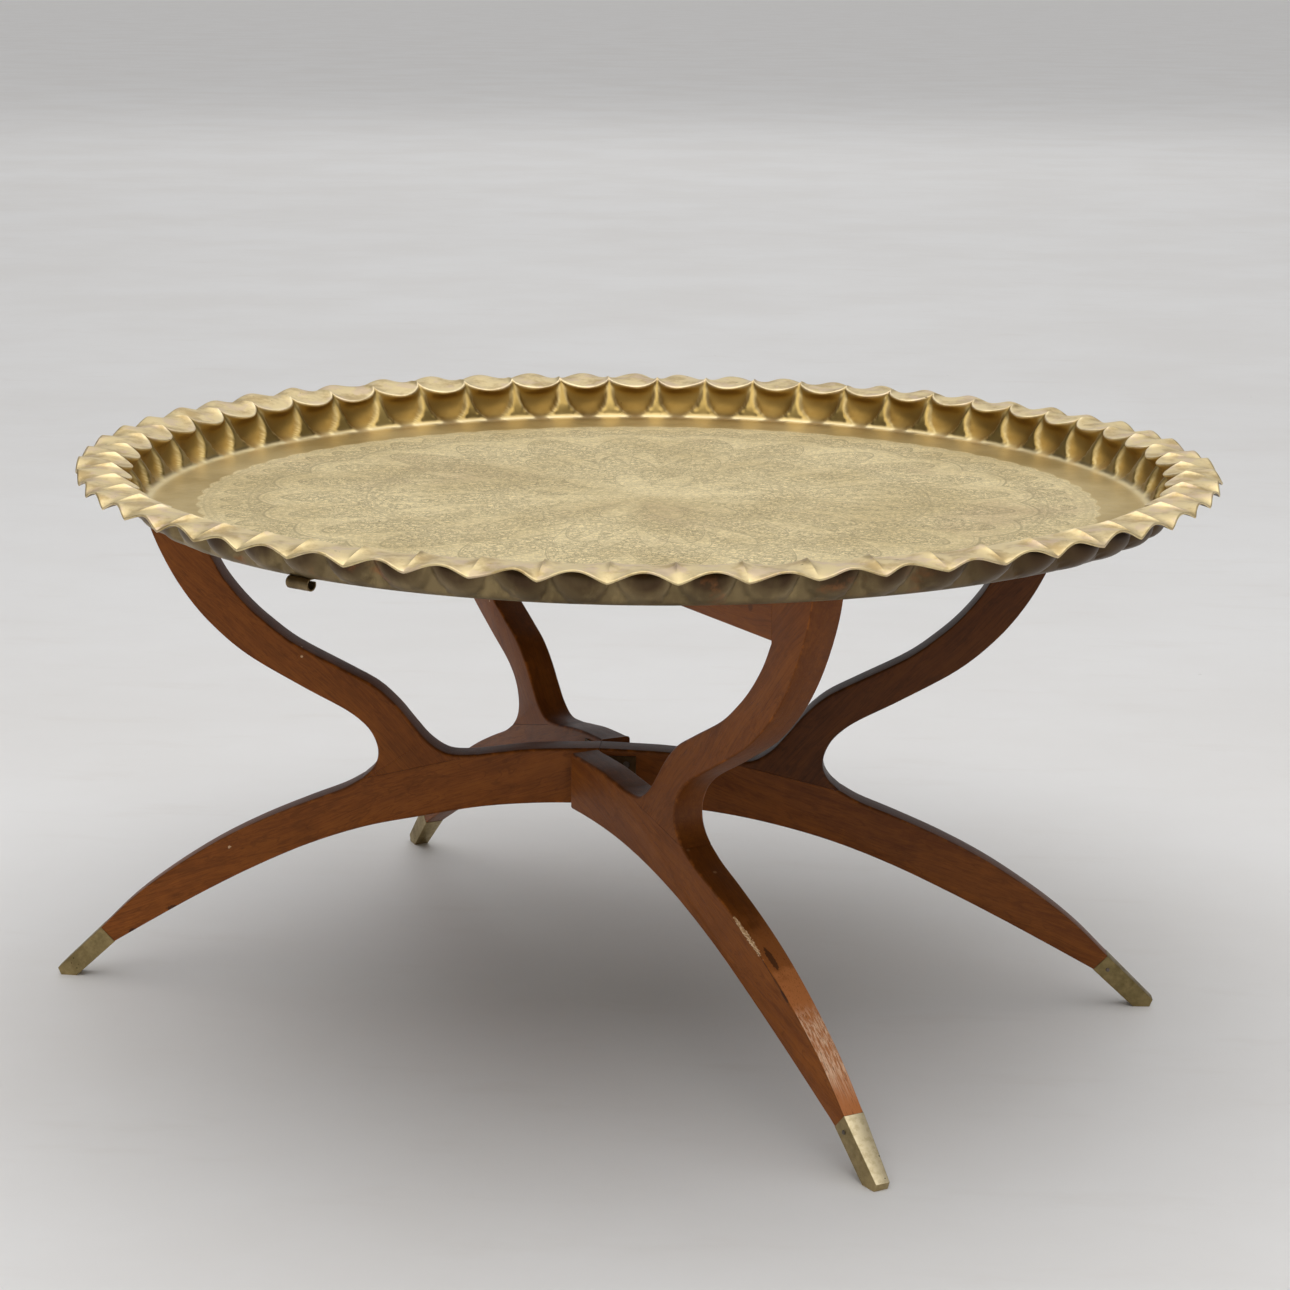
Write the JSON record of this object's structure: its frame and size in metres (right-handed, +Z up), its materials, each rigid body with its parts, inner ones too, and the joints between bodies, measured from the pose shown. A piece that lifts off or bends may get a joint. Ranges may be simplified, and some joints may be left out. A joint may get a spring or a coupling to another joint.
{
  "type": "brass tray table",
  "caption": "Low round table: a scalloped brass tray lies loose on a folding wooden stand with curved spider legs, brass foot caps and hinged half frames.",
  "frame": {"origin": "on the floor under the middle of the table's outline", "axes": "+Z up; the main frame of the stand lies along X; the front half frame points towards -Y and +X"},
  "size_m": [0.978, 0.9295, 0.4764],
  "materials": {
    "tray_brass": "aged, hammered and engraved, satin",
    "cap_brass": "tarnished, scratched",
    "hinge_brass": "dull",
    "stand_wood": "red-brown stained hardwood, satin lacquer, worn edges",
    "steel": "dull"
  },
  "bodies": {
    "main_frame": {"main_leg_left": "stand_wood", "main_leg_right": "stand_wood", "main_arm_left": "stand_wood", "main_arm_right": "stand_wood", "main_top_rail": "stand_wood", "foot_cap_left": "cap_brass", "foot_cap_right": "cap_brass", "cap_nail_left": "steel", "cap_nail_right": "steel", "front_lower_hinge_fixed_leaf": "hinge_brass", "front_lower_hinge_pin": "steel", "front_lower_fixed_screw_a": "steel", "front_lower_fixed_screw_b": "steel", "front_upper_hinge_fixed_leaf": "hinge_brass", "front_upper_hinge_pin": "steel", "front_upper_fixed_screw_a": "steel", "front_upper_fixed_screw_b": "steel", "rear_lower_hinge_fixed_leaf": "hinge_brass", "rear_lower_hinge_pin": "steel", "rear_lower_fixed_screw_a": "steel", "rear_lower_fixed_screw_b": "steel", "rear_upper_hinge_fixed_leaf": "hinge_brass", "rear_upper_hinge_pin": "steel", "rear_upper_fixed_screw_a": "steel", "rear_upper_fixed_screw_b": "steel"},
    "front_half_frame": {"front_leg": "stand_wood", "front_arm": "stand_wood", "front_top_rail": "stand_wood", "foot_cap_front": "cap_brass", "cap_nail_front": "steel", "front_lower_hinge_moving_leaf": "hinge_brass", "front_lower_moving_screw_a": "steel", "front_lower_moving_screw_b": "steel", "front_upper_hinge_moving_leaf": "hinge_brass", "front_upper_moving_screw_a": "steel", "front_upper_moving_screw_b": "steel"},
    "rear_half_frame": {"rear_leg": "stand_wood", "rear_arm": "stand_wood", "rear_top_rail": "stand_wood", "foot_cap_rear": "cap_brass", "cap_nail_rear": "steel", "rear_lower_hinge_moving_leaf": "hinge_brass", "rear_lower_moving_screw_a": "steel", "rear_lower_moving_screw_b": "steel", "rear_upper_hinge_moving_leaf": "hinge_brass", "rear_upper_moving_screw_a": "steel", "rear_upper_moving_screw_b": "steel"},
    "tray": {"tray": "tray_brass", "hanging_eye": "cap_brass"}
  },
  "joints": [
    {"name": "front_fold", "type": "hinge", "parent": "main_frame", "child": "front_half_frame", "pos_m": [-0.012, 0.0006, 0.3], "axis": [0, 0, 1], "range_deg": [-32.8, 57.2]},
    {"name": "rear_fold", "type": "hinge", "parent": "main_frame", "child": "rear_half_frame", "pos_m": [-0.02, 0.0334, 0.3], "axis": [0, 0, 1], "range_deg": [-30.3, 59.7]},
    {"name": "tray_lift", "type": "slide", "parent": "main_frame", "child": "tray", "axis": [0, 0, 1], "range_m": [0, 0.25]}
  ]
}
